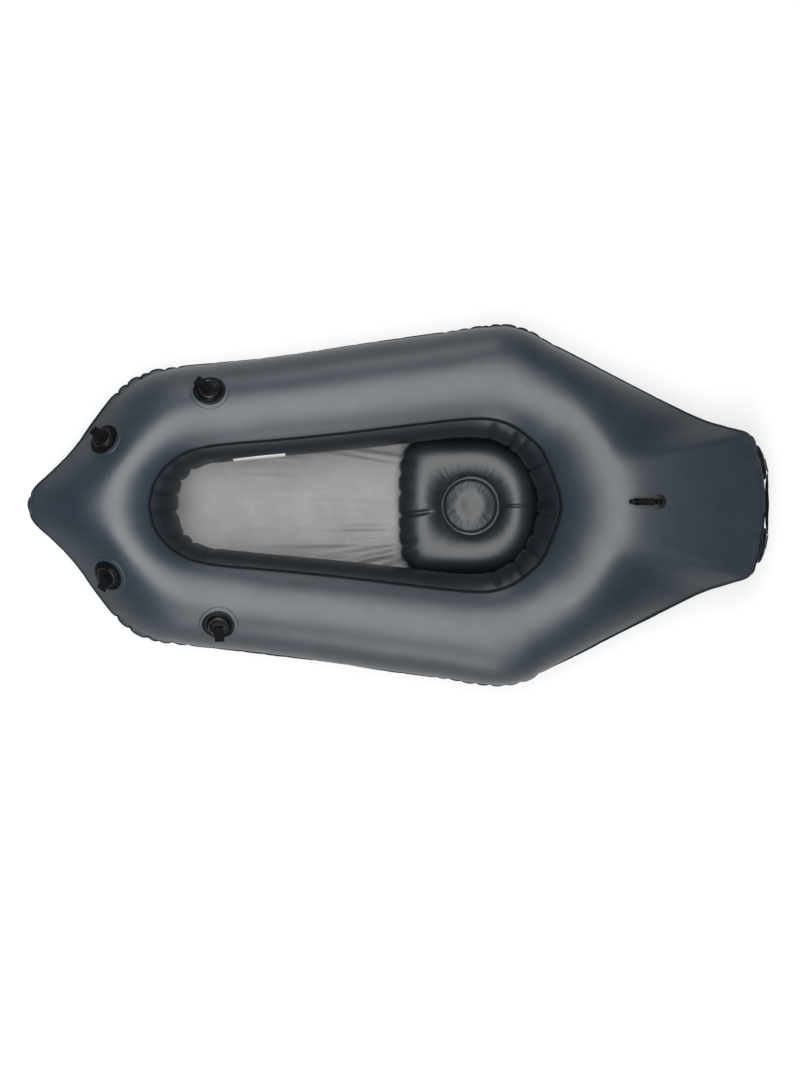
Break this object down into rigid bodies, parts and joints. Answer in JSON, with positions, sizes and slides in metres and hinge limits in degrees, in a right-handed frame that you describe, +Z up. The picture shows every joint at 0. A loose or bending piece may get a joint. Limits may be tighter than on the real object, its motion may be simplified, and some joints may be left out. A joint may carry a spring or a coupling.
{
  "type": "inflatable packraft",
  "caption": "One-person inflatable packraft: pointed bow, long blunt stern, inflatable seat with a round centre weld, webbing tie-downs, stern grab strap and air valves.",
  "frame": {"origin": "middle of the boat's bounding box, on the ground under the floor", "axes": "+X towards the stern, +Y to starboard, +Z up"},
  "size_m": [2.0025, 0.9824, 0.3402],
  "materials": {
    "hull_slate": "satin coated fabric",
    "hull_navy": "satin coated fabric",
    "hull_black": "satin coated fabric",
    "floor_grey": "satin coated fabric",
    "seam_black": "satin",
    "seat_slate": "satin coated fabric",
    "moulded_black": "gloss",
    "webbing_black": "woven",
    "rubber_black": "matt",
    "strip_pale": "matt"
  },
  "bodies": {
    "hull": {"tube_top_panel": "hull_slate", "tube_inner_wall_panel": "hull_navy", "tube_bottom_panel": "hull_black", "stern_end_panel": "hull_slate", "cockpit_seam_piping": "seam_black", "perimeter_seam_tape": "seam_black", "floor_sheet": "floor_grey", "inner_wall_patch": "strip_pale", "tie_disc_bow_starboard": "hull_slate", "tie_disc_bow_port": "hull_slate", "tie_disc_fore_starboard": "hull_slate", "tie_disc_fore_port": "hull_slate", "tie_disc_stern_starboard": "hull_slate", "tie_disc_stern_port": "hull_slate", "tie_puck_bow_starboard": "moulded_black", "tie_puck_bow_port": "moulded_black", "tie_puck_fore_starboard": "moulded_black", "tie_puck_fore_port": "moulded_black", "tie_puck_stern_starboard": "moulded_black", "tie_puck_stern_port": "moulded_black", "grab_strap_end_stern_starboard": "webbing_black", "grab_strap_end_stern_port": "webbing_black", "seat_cushion": "seat_slate", "seat_grip_pad": "webbing_black", "seat_valve_stem": "rubber_black", "mouth_tube_flange": "hull_black", "mouth_tube_elbow": "rubber_black", "valve_flange": "hull_black", "valve_base": "moulded_black"},
    "loop_bow_starboard": {"tie_loop_bow_starboard": "webbing_black"},
    "loop_bow_port": {"tie_loop_bow_port": "webbing_black"},
    "loop_fore_starboard": {"tie_loop_fore_starboard": "webbing_black"},
    "loop_fore_port": {"tie_loop_fore_port": "webbing_black"},
    "grab_strap": {"stern_grab_strap": "webbing_black"},
    "mouth_tube": {"mouth_tube_hose": "rubber_black"},
    "mouth_nozzle": {"mouth_tube_nozzle": "moulded_black"},
    "valve_insert": {"valve_insert": "moulded_black", "valve_flap": "rubber_black"},
    "valve_cap": {"valve_cap": "moulded_black"},
    "seat_plug": {"seat_valve_plug": "rubber_black"}
  },
  "joints": [
    {"name": "loop_bow_starboard_swing", "type": "hinge", "parent": "hull", "child": "loop_bow_starboard", "pos_m": [-0.79913, 0.18202, 0.28862], "axis": [0.6508, 0.7592, 0.0068], "range_deg": [0, 160]},
    {"name": "loop_bow_port_swing", "type": "hinge", "parent": "hull", "child": "loop_bow_port", "pos_m": [-0.78806, -0.19399, 0.2893], "axis": [-0.8119, 0.5254, -0.2546], "range_deg": [0, 160]},
    {"name": "loop_fore_starboard_swing", "type": "hinge", "parent": "hull", "child": "loop_fore_starboard", "pos_m": [-0.51015, 0.3136, 0.29297], "axis": [0.5761, 0.7201, -0.3868], "range_deg": [0, 160]},
    {"name": "loop_fore_port_swing", "type": "hinge", "parent": "hull", "child": "loop_fore_port", "pos_m": [-0.48643, -0.32877, 0.28437], "axis": [-0.9962, -0.0498, -0.0719], "range_deg": [0, 160]},
    {"name": "grab_strap_lift", "type": "hinge", "parent": "hull", "child": "grab_strap", "pos_m": [0.99911, 0.00554, 0.15241], "axis": [0, -1, 0], "range_deg": [0, 100]},
    {"name": "mouth_tube_lift", "type": "hinge", "parent": "hull", "child": "mouth_tube", "pos_m": [0.67535, 0.00916, 0.3192], "axis": [0, 1, -0.0085], "range_deg": [0, 80]},
    {"name": "mouth_nozzle_pull", "type": "slide", "parent": "mouth_tube", "child": "mouth_nozzle", "axis": [-0.976, 0.0018, 0.2177], "range_m": [0, 0.005]},
    {"name": "valve_insert_unscrew", "type": "hinge", "parent": "hull", "child": "valve_insert", "pos_m": [0.67846, -0.25595, 0.09601], "axis": [0.3629, -0.5084, -0.781], "range_deg": [0, 270]},
    {"name": "valve_cap_unscrew", "type": "hinge", "parent": "valve_insert", "child": "valve_cap", "pos_m": [0.67846, -0.25595, 0.09601], "axis": [0.3629, -0.5084, -0.781], "range_deg": [0, 270]},
    {"name": "seat_plug_pull", "type": "slide", "parent": "hull", "child": "seat_plug", "axis": [1, 0, 0], "range_m": [0, 0.01]}
  ]
}
